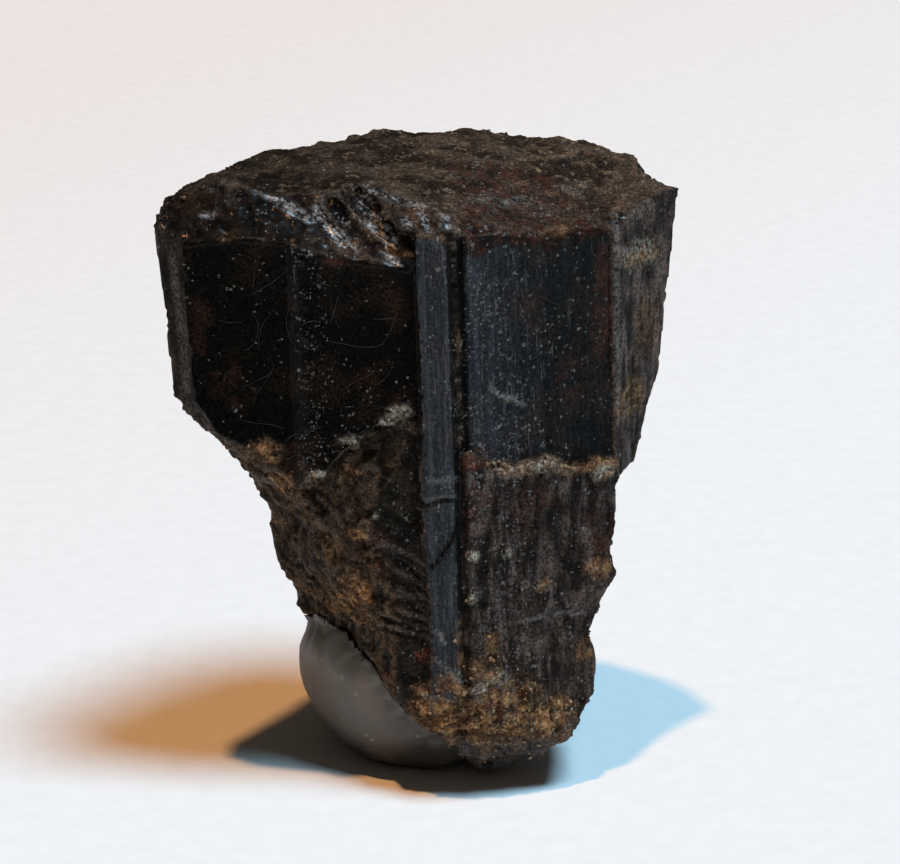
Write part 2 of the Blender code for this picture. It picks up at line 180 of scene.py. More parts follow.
# Colours, most of them as a dark and a light one that alternate in patches
GLASS = (0.0034, 0.0036, 0.0030), (0.012, 0.0075, 0.0048)
SNAPPED = (0.012, 0.008, 0.0055), (0.044, 0.028, 0.018)
SNAPPED_TAN = (0.10, 0.065, 0.040)
# A painted highlight for the ridges of the breaks
SNAPPED_RIDGE_HIGHLIGHT = (0.10, 0.072, 0.050)
TOP_BROWN = (0.011, 0.007, 0.0045), (0.038, 0.027, 0.018)
TOP_TAN = (0.075, 0.052, 0.033)
DULL_BLACK = (0.0065, 0.0062, 0.0052), (0.019, 0.0165, 0.013)
CHIP_BROWN = (0.005, 0.0035, 0.0025), (0.042, 0.023, 0.013)
# A painted highlight for the ridges of the rim
CHIP_RIDGE_HIGHLIGHT = (0.12, 0.095, 0.070)
# Painted orange glints on the rim
CHIP_GLINT_ORANGE = (0.11, 0.055, 0.022)
# Painted silver glints in the rim's flutes
PAINTED_GLINT = (0.030, 0.032, 0.034), (0.52, 0.54, 0.55)
# Slate film and brown haze, each colour partly a painted sheen
SLATE_FILM_AND_SHEEN = (0.094, 0.115, 0.142)
BROWN_HAZE_AND_SHEEN = (0.020, 0.0145, 0.0125), (0.116, 0.087, 0.075)
# The stone's red, painted as a glow where light shows through it
RED_AND_GLOW_TINT = (0.062, 0.022, 0.013), (0.150, 0.050, 0.032)
EARTH = (0.080, 0.038, 0.017), (0.32, 0.175, 0.078)
EARTH_PALE = (0.42, 0.30, 0.17)
CHALK = (0.16, 0.14, 0.105), (0.40, 0.37, 0.30)
SCRATCH_GREY = (0.17, 0.175, 0.17)
# Painted shade in hollows
HOLLOW_SHADE = (0.006, 0.004, 0.003)
# A painted highlight on the flakes' lips
FLAKE_LIP_HIGHLIGHT = (0.095, 0.075, 0.060)
# Painted shade in cracks
CRACK_SHADE = (0.003, 0.0025, 0.002)
DUST_GREY = (0.18, 0.185, 0.175)


def smooth_step(low, high, value):
    share = np.clip((value - low) / (high - low), 0.0, 1.0)
    return share * share * (3.0 - 2.0 * share)


def near(places, centre, radii):
    """1 at the centre of an ellipsoid, falling to 0 at its surface."""
    away = np.linalg.norm((places - np.array(centre)) / np.array(radii), axis=1)
    return 1.0 - smooth_step(0.25, 1.0, away)


def shift_of(seed):
    return Vector((seed * 7.31, seed * 3.17, seed * 5.73))


def rolling(places, size, seed, octaves=3, roughness=0.9):
    """Smooth noise of about -1 to 1 with bumps `size` mm across; `size` may differ along x, y and z."""
    shift = shift_of(seed)
    scaled = places / np.array(size)
    return np.array([noise.fractal(Vector(at) + shift, roughness, 2.1, octaves) for at in scaled])


def facets(places, size, seed):
    """The height of a splintery break: flat facets about `size` mm across, each tilted its own way."""
    shift = shift_of(seed)
    heights = []
    for at in places / np.array(size):
        at = Vector(at) + shift
        middle = noise.voronoi(at)[1][0]
        tilt = noise.cell_vector(middle * 41.7) - Vector((0.5, 0.5, 0.5))
        heights.append((at - middle).dot(tilt) * 2.0)
    return np.array(heights)


def grains(places, size, seed):
    """The height of packed round grains, 1 at each middle and 0 between them."""
    shift = shift_of(seed)
    gaps = [noise.voronoi(Vector(at) + shift)[0][0] for at in places / np.array(size)]
    return 1.0 - np.minimum(1.0, gaps)


def only(mask, field, places, *rest):
    """A noise field worked out only where the mask is above zero, and multiplied by it."""
    heights = np.zeros(len(places))
    chosen = mask > 0.001
    if chosen.any():
        heights[chosen] = field(places[chosen], *rest)
    return heights * mask


def fine_skin(node, place, step):
    """A CAD solid in its piece's own frame and in mm, remeshed into small even faces."""
    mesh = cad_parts[node].data.copy()
    mesh.transform(Matrix.Scale(1.0 / MM, 4) @ place.inverted())
    solid = bpy.data.objects.new("solid", mesh)
    scene.collection.objects.link(solid)
    remesh = solid.modifiers.new("even faces", "REMESH")
    remesh.mode = "VOXEL"
    remesh.voxel_size = step
    depsgraph = bpy.context.evaluated_depsgraph_get()
    skin = bpy.data.meshes.new_from_object(solid.evaluated_get(depsgraph))
    skin.materials.clear()
    bpy.data.objects.remove(solid)
    return skin


def read_places(mesh):
    flat = np.empty(len(mesh.vertices) * 3, np.float32)
    mesh.vertices.foreach_get("co", flat)
    return flat.reshape(-1, 3).astype(float)


def read_normals(mesh):
    flat = np.empty(len(mesh.vertices) * 3, np.float32)
    mesh.vertices.foreach_get("normal", flat)
    return flat.reshape(-1, 3).astype(float)


def write_places(mesh, places):
    mesh.vertices.foreach_set("co", places.astype(np.float32).ravel())
    mesh.update()


def paint(mesh, name, values):
    """Keeps a mask of 0 to 1 on the mesh for its material."""
    layer = mesh.attributes.new(name, "FLOAT", "POINT")
    layer.data.foreach_set("value", np.clip(values, 0.0, 1.0).astype(np.float32))


def hollowness(mesh, places, rounds):
    """How far each point lies in a hollow (above 0) or on a ridge (below 0), in mm."""
    ends = np.empty(len(mesh.edges) * 2, np.int32)
    mesh.edges.foreach_get("vertices", ends)
    ends = ends.reshape(-1, 2)
    count = np.bincount(ends.ravel(), minlength=len(places))[:, None]
    smoothed = places
    for _ in range(rounds):
        total = np.zeros_like(smoothed)
        for axis in range(3):
            total[:, axis] += np.bincount(ends[:, 0], smoothed[ends[:, 1], axis], len(places))
            total[:, axis] += np.bincount(ends[:, 1], smoothed[ends[:, 0], axis], len(places))
        smoothed = total / np.maximum(count, 1)
    return ((smoothed - places) * read_normals(mesh)).sum(axis=1)


def prism_fit(places):
    """For each place: the nearest grown face, how far outside it, and how far from a corner."""
    down = TOP_Z - places[:, 2]
    corners = []
    for x, y, draw_in in PRISM:
        share = 1.0 - draw_in * down / math.hypot(x, y)
        corners.append(np.stack([x * share, y * share], axis=1))
    best = np.full(len(places), FAR_AWAY)
    face = np.zeros(len(places), int)
    outside = np.zeros(len(places))
    edge = np.full(len(places), FAR_AWAY)
    for i, corner in enumerate(corners):
        way = corners[(i + 1) % len(corners)] - corner
        length = np.linalg.norm(way, axis=1)
        way = way / length[:, None]
        rest = places[:, :2] - corner
        run = (rest * way).sum(axis=1)
        out = rest[:, 0] * way[:, 1] - rest[:, 1] * way[:, 0]
        past = np.maximum(0.0, np.maximum(-run, run - length))
        gap = np.hypot(out, past)
        closer = gap < best
        best = np.where(closer, gap, best)
        face = np.where(closer, i, face)
        outside = np.where(closer, out, outside)
        edge = np.minimum(edge, np.hypot(rest[:, 0], rest[:, 1]))
    return face, outside, edge


def strongest(*fields):
    return np.maximum.reduce(fields)


def height_along(line, x):
    """The height of a wandering line of (x, z) points at x."""
    return np.interp(x, [p[0] for p in line], [p[1] for p in line])


crystal_place = Matrix.Translation(CRYSTAL_PLACE * MM) @ Matrix.Rotation(LEAN, 4, "Y")
skin = fine_skin("crystal", crystal_place, CRYSTAL_STEP)
places = read_places(skin)
normals = read_normals(skin)
x, y, z = places.T
face, outside, edge = prism_fit(places)
wander = rolling(places, 0.35, 31)
facing = smooth_step(0.15, 0.5, -normals[:, 1])


def on_front(patches):
    """The cover of ragged oval patches on the front."""
    cover = np.zeros(len(places))
    for x_mid, z_mid, half_width, half_height, strength in patches:
        away = np.hypot((x - x_mid) / half_width, (z - z_mid) / half_height) + 0.35 * wander
        cover = np.maximum(cover, strength * smooth_step(1.0, 0.4, away))
    return cover * facing


def line_on_front(points, width):
    """1 on a line of (x, z) points over the front, falling to 0 at its width."""
    nearest = np.full(len(places), FAR_AWAY)
    for (x_a, z_a), (x_b, z_b) in zip(points, points[1:]):
        run = np.array((x_b - x_a, z_b - z_a))
        share = np.clip(((x - x_a) * run[0] + (z - z_a) * run[1]) / run.dot(run), 0.0, 1.0)
        nearest = np.minimum(nearest, np.hypot(x - x_a - share * run[0], z - z_a - share * run[1]))
    return smooth_step(width, 0.2 * width, nearest) * facing


def lines_on_front(lines):
    """The strongest at each place of several lines, each as points, half width and strength."""
    return strongest(*(strength * line_on_front(points, width) for points, width, strength in lines))


def by_face(values, others=0.0):
    """A value for each place, by the grown face that is nearest."""
    return np.array([values.get(number, others) for number in range(len(PRISM))])[face]


# Which kind of surface each place belongs to
ledge_z = height_along(LEDGE, x)
on_right = (face == RIGHT_FRONT) | (face == GROOVE) | (face == GROOVE_RIGHT)
on_left = (face == BLACK_RIGHT) | (face == STRIP_SIDE) | ((face >= RIB_LEFT) & (face <= RIB_RIGHT))
under_black = on_left & (z < height_along(DULL_EDGE, x))
set_back = LEDGE_SETBACK * (on_right & (z > ledge_z)) + DULL_SETBACK * under_black
steep = 1.0 - smooth_step(0.75, 1.0, np.abs(normals[:, 2]) * 1.6)
fitted = (1.0 - smooth_step(FACE_FIT * 0.6, FACE_FIT, np.abs(outside + set_back))) * steep
dull = fitted * under_black
grown = fitted * ~under_black
top = smooth_step(0.45, 0.75, normals[:, 2]) * smooth_step(RIM_Z, RIM_Z + 0.3, z) * (1.0 - fitted)
rim = facing * smooth_step(RIM_Z - 0.2, RIM_Z + 0.1, z) * (1.0 - fitted)
crust = np.clip(on_front(TIP_EARTH) + near(places, TIP_MIDDLE, TIP_RADII), 0.0, 1.0)
block = grown * on_right * (z < ledge_z)
behind = grown * (face > RIGHT_SIDE)
broken = (1.0 - fitted) * (1.0 - 0.75 * top) * (1.0 - 0.5 * rim)

# Relief of the breaks: flat splinters of several sizes, ribs along the chips of the rim, and grains of
# crust. Each row has its mask, its field, the places it is worked out for, size, seed and height.
to_run = CHIP_RUN.to_track_quat("Z", "Y").inverted().to_matrix()
along_run = places @ np.array(to_run).T
height = np.zeros(len(places))
for mask, field, where, size, seed, rise in (
    (broken, rolling, places, 1.3, 1, 0.06),
    (broken, facets, places, 0.75, 2, 0.10),
    (broken, facets, places, 0.30, 3, 0.085),
    (broken, rolling, places, 0.16, 4, 0.014),
    (top, rolling, places, 0.9, 5, 0.05),
    (top, facets, places, 0.6, 6, 0.035),
    (top, facets, places, 0.25, 16, 0.022),
    (top, rolling, places, 0.17, 7, 0.010),
    (rim, rolling, along_run, (0.14, 0.14, 1.1), 14, 0.022),
    (rim, facets, places, 0.24, 15, 0.035),
    (crust, rolling, places, 0.55, 17, 0.07),
    (crust, grains, places, 0.34, 9, 0.06),
    (crust, rolling, places, 0.13, 18, 0.03),
):
    height += only(mask, field, where, size, seed) * rise

# Relief of the grown faces: growth lines from top to bottom, coarser on the block under the ledge and
# at the back
stepped = FLATTENED * (on_right | (face == RIGHT_SIDE))
height -= stepped * grown * np.clip(outside + set_back, -STEP_REACH, STEP_REACH)
for mask, field, size, seed, rise in (
    (grown, rolling, (0.28, 0.28, 5.0), 10, 0.007),
    (grown, rolling, (0.12, 0.12, 4.0), 19, 0.006),
    (grown, rolling, (0.9, 0.9, 1.6), 11, 0.005),
    (block, rolling, (0.24, 0.24, 1.4), 20, 0.032),
    (block, facets, (0.22, 0.22, 0.5), 26, 0.045),
    (block, rolling, 0.7, 29, 0.03),
    (behind, rolling, (0.35, 0.35, 4.0), 27, 0.030),
    (behind, facets, (0.5, 0.5, 2.2), 28, 0.045),
    (dull, facets, (0.25, 0.25, 0.5), 8, 0.03),
    (dull, rolling, 0.5, 22, 0.02),
):
    height += only(mask, field, places, size, seed) * rise

# The earthy ridge along the ledge, and the patches of pale crust, are lumps that stand proud
ledge_gap = ledge_z - z + 0.04 * wander
ledge_line = smooth_step(-0.10, 0.02, ledge_gap) * smooth_step(0.27, 0.06, ledge_gap) * on_right
ledge_line *= smooth_step(0.6, 0.75, x) * facing
pale = on_front(PALE_CRUST)
lumps = strongest(pale, 0.8 * ledge_line)
height += lumps * (CRUST_LIFT + CRUST_GRAIN * only(lumps, grains, places, 0.16, 23))

# Fine cracks: two across the strip, and a fan of them on the dull face that meets the strip's foot.
# Each crack of the fan has a flake standing proud over it.
crack = lines_on_front(STRIP_CRACKS)
flake = np.zeros(len(places))
fan = random.Random(5)
for i in range(FAN_COUNT):
    low = FAN_Z - FAN_PITCH * i
    climb = fan.uniform(0.0, 0.75)
    reach = fan.uniform(0.45, 0.95)
    middle = (FAN_X - 0.5 * reach, low + 0.62 * climb)
    points = ((FAN_X - reach, low + climb), middle, (FAN_X, low))
    crack = strongest(crack, fan.uniform(0.7, 1.0) * line_on_front(points, 0.085))
    lip = tuple((at_x, at_z + 0.09) for at_x, at_z in points)
    flake = strongest(flake, fan.uniform(0.4, 0.9) * line_on_front(lip, 0.09))
height += FLAKE_LIFT * flake - CRACK_DEPTH * crack

# The main corners are worn and nicked
nicks = smooth_step(0.09, 0.02, edge) * smooth_step(0.15, 0.6, rolling(places, 0.22, 13))
height -= nicks * NICK_DEPTH * grown

# The flutes of the rim
glinting_flute = lines_on_front(GLINTING_FLUTES) * rim
shaded_flute = lines_on_front(SHADED_FLUTES) * rim
height -= FLUTE_DEPTH * glinting_flute

places += normals * height[:, None]
write_places(skin, places)
hollow = hollowness(skin, places, HOLLOW_ROUNDS)
x, y, z = places.T

# Slate film with a painted sheen on the strip, right of it and under the tip; brown haze with a painted
# sheen on the flanks, block and back
upper_right = (face == RIGHT_FRONT) & (z > ledge_z)
under_crest = upper_right * smooth_step(10.85, 11.10, z + 0.30 * wander)
underside = smooth_step(1.7, 0.7, z + 0.3 * wander) * smooth_step(0.1, -0.5, normals[:, 2])
film_and_sheen = strongest(
    by_face({STRIP: 0.42, RIB: 0.05}), upper_right * (0.07 + 0.22 * smooth_step(2.6, 0.9, x)),
)
film_and_sheen = strongest(film_and_sheen * grown, 0.5 * underside) * (1.0 - 0.9 * under_crest)
haze_and_sheen = strongest(by_face({RIGHT_SIDE: 0.95, FAR_LEFT: 0.38}), 0.75 * (block > 0.1)) * grown
haze_and_sheen = strongest(haze_and_sheen, 0.25 * behind)

# Tan earth on the tip, the ledge and the breaks low down, and the stone's red here and there, painted as a
# glow where light would show through it
earth = strongest(
    crust * (0.95 - 0.8 * underside), 0.55 * ledge_line * smooth_step(0.9, 1.5, x),
    on_front(TIP_EARTH + OTHER_EARTH),
    0.22 * broken * smooth_step(7.5, 6.0, z) * smooth_step(-0.1, 0.5, wander),
)
pale_ledge = 0.40 * ledge_line * smooth_step(1.1, 1.6, x) * smooth_step(3.0, 2.4, x)
rim_red = 0.22 * rim * smooth_step(-0.1, 0.5, rolling(places, 0.5, 24))
red_and_glow = strongest(on_front(RED_GLOW), rim_red, 0.7 * under_crest)

# Painted shade on unlit places: the left of the rim, the shaded flutes, the groove and the band under the
# right crest
chips = smooth_step(0.02, 0.3, -normals[:, 1]) * (1.0 - fitted) * (1.0 - 0.9 * glinting_flute)
chips *= smooth_step(RIM_Z - 0.2, RIM_Z + 0.1, z)
left_rim = smooth_step(-1.5, -2.3, x + 0.3 * wander) * smooth_step(12.3, 12.0, z + 0.15 * wander)
in_groove = ((face >= GROOVE_LEFT) & (face <= GROOVE_RIGHT)) * smooth_step(11.4, 11.0, z)
painted_shade = strongest(
    0.97 * chips * left_rim, 0.25 * under_crest, 0.8 * shaded_flute,
    in_groove * (0.3 + 0.5 * smooth_step(9.6, 10.2, z)),
)

# Settled dust: most on the rib, in the groove, left on the right front face and on the crest
dusty = by_face({BLACK_LEFT: 0.07, BLACK_RIGHT: 0.07}, 0.10)
dusty = np.where((face == BLACK_RIGHT) & (z < 9.0), 0.16, dusty)
dusty = strongest(dusty, 0.85 * smooth_step(0.42, 0.10, np.abs(x - RIB_X)) * (y < 0.0))
dusty = np.where(face == STRIP, 0.30, dusty)
dusty = np.where(face == RIGHT_FRONT, 0.22 + 0.78 * smooth_step(2.5, 1.2, x), dusty)
dusty = strongest(
    dusty * fitted, 0.50 * rim, 0.12 * top, 0.30 * dull, 0.6 * under_crest,
    rim * smooth_step(-0.2, 0.3, x) * near(places, CREST_MIDDLE, CREST_RADII),
    0.9 * in_groove * smooth_step(10.2, 9.6, z) * smooth_step(6.8, 7.4, z),
)
dusty *= 1.0 - 0.8 * painted_shade

# Glassy faces, and the ribs in the glinting flutes, which get a glossy coat and painted silver glints
glassiness = by_face({BLACK_LEFT: 1.0, BLACK_RIGHT: 1.0}, 0.12)
glassiness = np.where(face > RIGHT_SIDE, 0.5, glassiness)
fluted = smooth_step(-0.35, 0.15, rolling(along_run, (0.10, 0.10, 0.8), 33))

masks = {
    "grown": grown, "top": top, "dull": dull, "rim": rim, "film_and_sheen": film_and_sheen, "haze_and_sheen": haze_and_sheen,
    "mirror": smooth_step(0.7, 1.0, grown) * glassiness, "gloss_and_glint": glinting_flute * fluted, "painted_shade": painted_shade,
    "dusty": dusty, "earth": earth, "pale": strongest(pale, pale_ledge), "red_and_glow": red_and_glow,
    "scratch": lines_on_front(SCRATCHES), "crack": crack, "flake": flake,
    "hollow": hollow / HOLLOW_DEPTH, "ridge": -hollow / HOLLOW_DEPTH,
}
for name, mask in masks.items():
    paint(skin, name, mask)

skin.transform(crystal_place @ Matrix.Scale(MM, 4))
skin.polygons.foreach_set("use_smooth", [True] * len(skin.polygons))
crystal = bpy.data.objects.new("painite_crystal", skin)
scene.collection.objects.link(crystal)


def plug(tree, socket, value):
    """Sets an input to a value, or links it to another node's output."""
    if isinstance(value, bpy.types.NodeSocket):
        tree.links.new(value, socket)
    else:
        socket.default_value = value


def add(tree, kind, inputs=(), **settings):
    """A node with its settings, and its inputs given as values or as other nodes' outputs."""
    made = tree.nodes.new(kind)
    for name, value in settings.items():
        setattr(made, name, value)
    for key, value in dict(inputs).items():
        plug(tree, made.inputs[key], value)
    return made


def colour(rgb):
    return (*rgb, 1.0)


def mixed(tree, share, low, high):
    """One colour over another, by a share of 0 to 1."""
    low, high = (colour(value) if isinstance(value, tuple) else value for value in (low, high))
    return add(tree, "ShaderNodeMix", {0: share, 6: low, 7: high}, data_type="RGBA").outputs[2]


def blended(tree, share, low, high):
    """One value towards another, by a share of 0 to 1."""
    return add(tree, "ShaderNodeMix", {0: share, 2: low, 3: high}, data_type="FLOAT").outputs[0]


def times(tree, a, b):
    return add(tree, "ShaderNodeMath", {0: a, 1: b}, operation="MULTIPLY").outputs[0]


def most(tree, a, b):
    return add(tree, "ShaderNodeMath", {0: a, 1: b}, operation="MAXIMUM").outputs[0]


def mask_on(tree, name):
    return add(tree, "ShaderNodeAttribute", attribute_name=name).outputs["Fac"]


def new_group(name, inputs, outputs):
    """A shader node group. Inputs are (name, kind, value) and outputs (name, kind)."""
    group = bpy.data.node_groups.new(name, "ShaderNodeTree")
    for label, kind, value in inputs:
        socket = group.interface.new_socket(label, in_out="INPUT", socket_type=kind)
        if value is not None:
            socket.default_value = value
    for label, kind in outputs:
        group.interface.new_socket(label, in_out="OUTPUT", socket_type=kind)
    return group, group.nodes.new("NodeGroupInput").outputs, group.nodes.new("NodeGroupOutput").inputs


def use_group(tree, group, inputs):
    return add(tree, "ShaderNodeGroup", inputs, node_tree=group).outputs


def make_mottle():
    """Patches of a given size, with soft or hard edges."""
    group, given, out = new_group(
        "mottle",
        [
            ("Place", "NodeSocketVector", None), ("Size", "NodeSocketFloat", 1.0),
            ("Detail", "NodeSocketFloat", 4.0), ("Low", "NodeSocketFloat", 0.4),
            ("High", "NodeSocketFloat", 0.6),
        ],
        [("Mask", "NodeSocketFloat")],
    )
    scale = add(group, "ShaderNodeMath", {0: 1.0, 1: given["Size"]}, operation="DIVIDE").outputs[0]
    field = add(
        group, "ShaderNodeTexNoise",
        {"Vector": given["Place"], "Scale": scale, "Detail": given["Detail"]},
    )
    mask = add(
        group, "ShaderNodeMapRange",
        {"Value": field.outputs["Fac"], "From Min": given["Low"], "From Max": given["High"]},
        interpolation_type="SMOOTHSTEP",
    )
    group.links.new(mask.outputs["Result"], out["Mask"])
    return group


def make_dust():
    """Ragged specks about Speck mm apart: some cells of a Voronoi pattern, more where Cover is high."""
    group, given, out = new_group(
        "settled dust",
        [
            ("Place", "NodeSocketVector", None), ("Speck", "NodeSocketFloat", 0.08),
            ("Cover", "NodeSocketFloat", 0.2),
        ],
        [("Mask", "NodeSocketFloat")],
    )
    scale = add(group, "ShaderNodeMath", {0: 1.0, 1: given["Speck"]}, operation="DIVIDE").outputs[0]
    sized = add(group, "ShaderNodeVectorMath", {0: given["Place"], "Scale": scale}, operation="SCALE")
    sized = sized.outputs[0]
    ragged = add(group, "ShaderNodeTexNoise", {"Vector": sized, "Scale": 2.3, "Detail": 2.0})
    pushed = add(group, "ShaderNodeVectorMath", {0: sized, 1: ragged.outputs["Color"]}, operation="ADD")
    cells = add(group, "ShaderNodeTexVoronoi", {"Vector": pushed.outputs[0], "Scale": 1.0})
    parts = add(group, "ShaderNodeSeparateColor", {"Color": cells.outputs["Color"]})
    small, large, crispness = 0.16, 0.5, 8.0
    reach = add(
        group, "ShaderNodeMapRange", {"Value": parts.outputs["Green"], "To Min": small, "To Max": large},
    ).outputs["Result"]
    dot = add(group, "ShaderNodeMath", {0: reach, 1: cells.outputs["Distance"]}, operation="SUBTRACT")
    dot = add(
        group, "ShaderNodeMath", {0: dot.outputs[0], 1: crispness}, operation="MULTIPLY", use_clamp=True,
    ).outputs[0]
    kept = add(group, "ShaderNodeMath", {0: parts.outputs["Red"], 1: given["Cover"]}, operation="LESS_THAN")
    group.links.new(times(group, dot, kept.outputs[0]), out["Mask"])
    return group


mottle = make_mottle()
dust = make_dust()


def new_material(name):
    material = bpy.data.materials.new(name)
    material.use_nodes = True
    tree = material.node_tree
    shader = tree.nodes["Principled BSDF"]
    return material, tree, shader


def in_mm(tree, place=Matrix.Identity(4)):
    """Places in mm in the frame of a piece that stands at `place`."""
    where = add(tree, "ShaderNodeTexCoord").outputs["Object"]
    back = place.inverted()
    turn = back.to_euler("XYZ")
    shift = back.translation / MM
    settings = {"Vector": where, "Scale": (1.0 / MM,) * 3, "Rotation": turn, "Location": shift}
    return add(tree, "ShaderNodeMapping", settings).outputs["Vector"]


def stretched(tree, where, scale):
    return add(tree, "ShaderNodeMapping", {"Vector": where, "Scale": scale}).outputs["Vector"]


def shaded(tree, base, low, high, field):
    """A colour made darker or lighter by a field of 0 to 1."""
    level = add(tree, "ShaderNodeMapRange", {"Value": field, "To Min": low, "To Max": high})
    given = {0: base, "Scale": level.outputs["Result"]}
    return add(tree, "ShaderNodeVectorMath", given, operation="SCALE").outputs[0]


def share_of(tree, value, low, high):
    """How far a value is from `low` to `high`, as 0 to 1."""
    given = {"Value": value, "From Min": low, "From Max": high}
    return add(tree, "ShaderNodeMapRange", given).outputs["Result"]


def noise_on(tree, where, size, detail):
    """Smooth noise of 0 to 1 with bumps about `size` mm across."""
    given = {"Vector": where, "Scale": 1.0 / size, "Detail": detail}
    return add(tree, "ShaderNodeTexNoise", given).outputs["Fac"]


def patches_on(tree, where, size, low, high, detail=4.0):
    """Ragged patches about `size` mm across, which cover more where `low` and `high` are lower."""
    given = {"Place": where, "Size": size, "Low": low, "High": high, "Detail": detail}
    return use_group(tree, mottle, given)["Mask"]


def specks_on(tree, where, size, cover):
    return use_group(tree, dust, {"Place": where, "Speck": size, "Cover": cover})["Mask"]


def bumpy(tree, shader, relief, strength, depth):
    """A bump of `depth` mm on the shader, from a field of 0 to 1."""
    given = {"Height": relief, "Strength": strength, "Distance": depth * MM}
    tree.links.new(add(tree, "ShaderNodeBump", given).outputs["Normal"], shader.inputs["Normal"])


def painite_material():
    """Black glassy growth faces with a slate-blue film and painted sheen, brown splintery breaks and tan
    earth.
    """
    material, tree, shader = new_material("painite")
    place = in_mm(tree, crystal_place)
    growth_way = stretched(tree, place, (1.0, 1.0, 0.05))
    block_way = stretched(tree, place, (1.0, 1.0, 0.22))
    graze_way = stretched(tree, place, (1.0, 1.0, 0.07))
    turned = add(tree, "ShaderNodeMapping", {"Vector": place, "Rotation": (0.0, CHIP_TURN, 0.0)})
    chip_way = stretched(tree, turned.outputs["Vector"], (1.0, 1.0, 0.25))

    def patches(size, low, high, where=place):
        return patches_on(tree, where, size, low, high)

    grown, top, dull, rim = (mask_on(tree, name) for name in ("grown", "top", "dull", "rim"))
    film_and_sheen, haze_and_sheen, dusty, earth = (mask_on(tree, name) for name in ("film_and_sheen", "haze_and_sheen", "dusty", "earth"))
    pale, red_and_glow, scratch, painted_shade = (mask_on(tree, name) for name in ("pale", "red_and_glow", "scratch", "painted_shade"))
    crack, flake, hollow, ridge = (mask_on(tree, name) for name in ("crack", "flake", "hollow", "ridge"))
    mirror, gloss_and_glint = (mask_on(tree, name) for name in ("mirror", "gloss_and_glint"))

    # The stone itself: splintered breaks, the top, the chipped rim, the dull face and the glassy ones.
    # Ridges of the breaks and of the rim get painted highlights, and the rim gets painted orange glints and
    # painted silver glints in its flutes.
    snapped = mixed(tree, patches(0.35, 0.38, 0.62), *SNAPPED)
    snapped = mixed(tree, patches(0.16, 0.56, 0.68), snapped, SNAPPED_TAN)
    snapped = mixed(tree, times(tree, ridge, 0.5), snapped, SNAPPED_RIDGE_HIGHLIGHT)
    topped = mixed(tree, patches(0.8, 0.40, 0.60), *TOP_BROWN)
    topped = mixed(tree, patches(0.22, 0.54, 0.70), topped, TOP_TAN)
    across = add(tree, "ShaderNodeSeparateXYZ", {"Vector": place}).outputs["X"]
    topped = shaded(tree, topped, 0.9, 2.0, share_of(tree, across, -3.0, 3.0))
    chipped = mixed(tree, patches(0.32, 0.46, 0.58), *CHIP_BROWN)
    chipped = mixed(tree, times(tree, ridge, 0.55), chipped, CHIP_RIDGE_HIGHLIGHT)
    chipped = mixed(tree, patches(0.12, 0.63, 0.70), chipped, CHIP_GLINT_ORANGE)
    chipped = mixed(tree, gloss_and_glint, chipped, mixed(tree, patches(0.055, 0.42, 0.56, chip_way), *PAINTED_GLINT))
    shade = mixed(tree, top, snapped, topped)
    shade = mixed(tree, rim, shade, chipped)
    shade = mixed(tree, dull, shade, mixed(tree, patches(0.3, 0.4, 0.6), *DULL_BLACK))
    shade = mixed(tree, grown, shade, mixed(tree, patches(0.9, 0.45, 0.65), *GLASS))

    # What lies on it: film and haze, each with a painted sheen, the stone's red painted as a glow, earth
    # and pale crust
    streaks = most(tree, patches(0.10, 0.35, 0.65, growth_way), 0.55)
    shade = mixed(tree, times(tree, film_and_sheen, streaks), shade, SLATE_FILM_AND_SHEEN)
    hazy_sheen = mixed(tree, patches(0.20, 0.38, 0.62, block_way), *BROWN_HAZE_AND_SHEEN)
    shade = mixed(tree, times(tree, haze_and_sheen, most(tree, patches(0.5, 0.35, 0.6), 0.4)), shade, hazy_sheen)
    ruddy = mixed(tree, share_of(tree, red_and_glow, 0.7, 1.0), *RED_AND_GLOW_TINT)
    shade = mixed(tree, times(tree, red_and_glow, patches(0.28, 0.36, 0.66)), shade, ruddy)
    earthy = mixed(tree, patches(0.26, 0.38, 0.62), *EARTH)
    earthy = mixed(tree, patches(0.13, 0.58, 0.70), earthy, EARTH_PALE)
    shade = mixed(tree, times(tree, earth, patches(0.3, 0.30, 0.50)), shade, earthy)
    chalky = mixed(tree, patches(0.10, 0.4, 0.6), *CHALK)
    shade = mixed(tree, times(tree, pale, patches(0.09, 0.34, 0.50)), shade, chalky)

    # Marks and shadowed places: painted shade in hollows, cracks and unlit places, and painted highlights
    # on the flakes' lips
    shade = mixed(tree, times(tree, scratch, patches(0.06, 0.36, 0.50)), shade, SCRATCH_GREY)
    shade = mixed(tree, times(tree, hollow, blended(tree, rim, 0.65, 0.40)), shade, HOLLOW_SHADE)
    shade = mixed(tree, times(tree, flake, 0.8), shade, FLAKE_LIP_HIGHLIGHT)
    shade = mixed(tree, times(tree, crack, 0.85), shade, CRACK_SHADE)
    shade = shaded(tree, shade, 0.35, 1.75, blended(tree, film_and_sheen, patches(0.055, 0.30, 0.70), 0.45))
    # Painted shade: the unlit places are darkened down to 0.12 of their colour
    shade = shaded(tree, shade, 1.0, 0.12, painted_shade)

    # Specks of dust, drawn out along the growth lines where the film is rubbed
    drifts = times(tree, dusty, times(tree, patches(0.45, 0.32, 0.58), 1.5))
    fine = specks_on(tree, place, 0.070, drifts)
    coarse = specks_on(tree, place, 0.13, times(tree, drifts, 0.12))
    grazed = specks_on(tree, graze_way, 0.042, times(tree, film_and_sheen, 2.6))
    settled = times(tree, most(tree, fine, coarse), patches(0.10, 0.30, 0.60))
    specks = most(tree, times(tree, grazed, 0.33), settled)
    shade = mixed(tree, times(tree, specks, patches(0.16, 0.25, 0.65)), shade, DUST_GREY)
    tree.links.new(shade, shader.inputs["Base Color"])

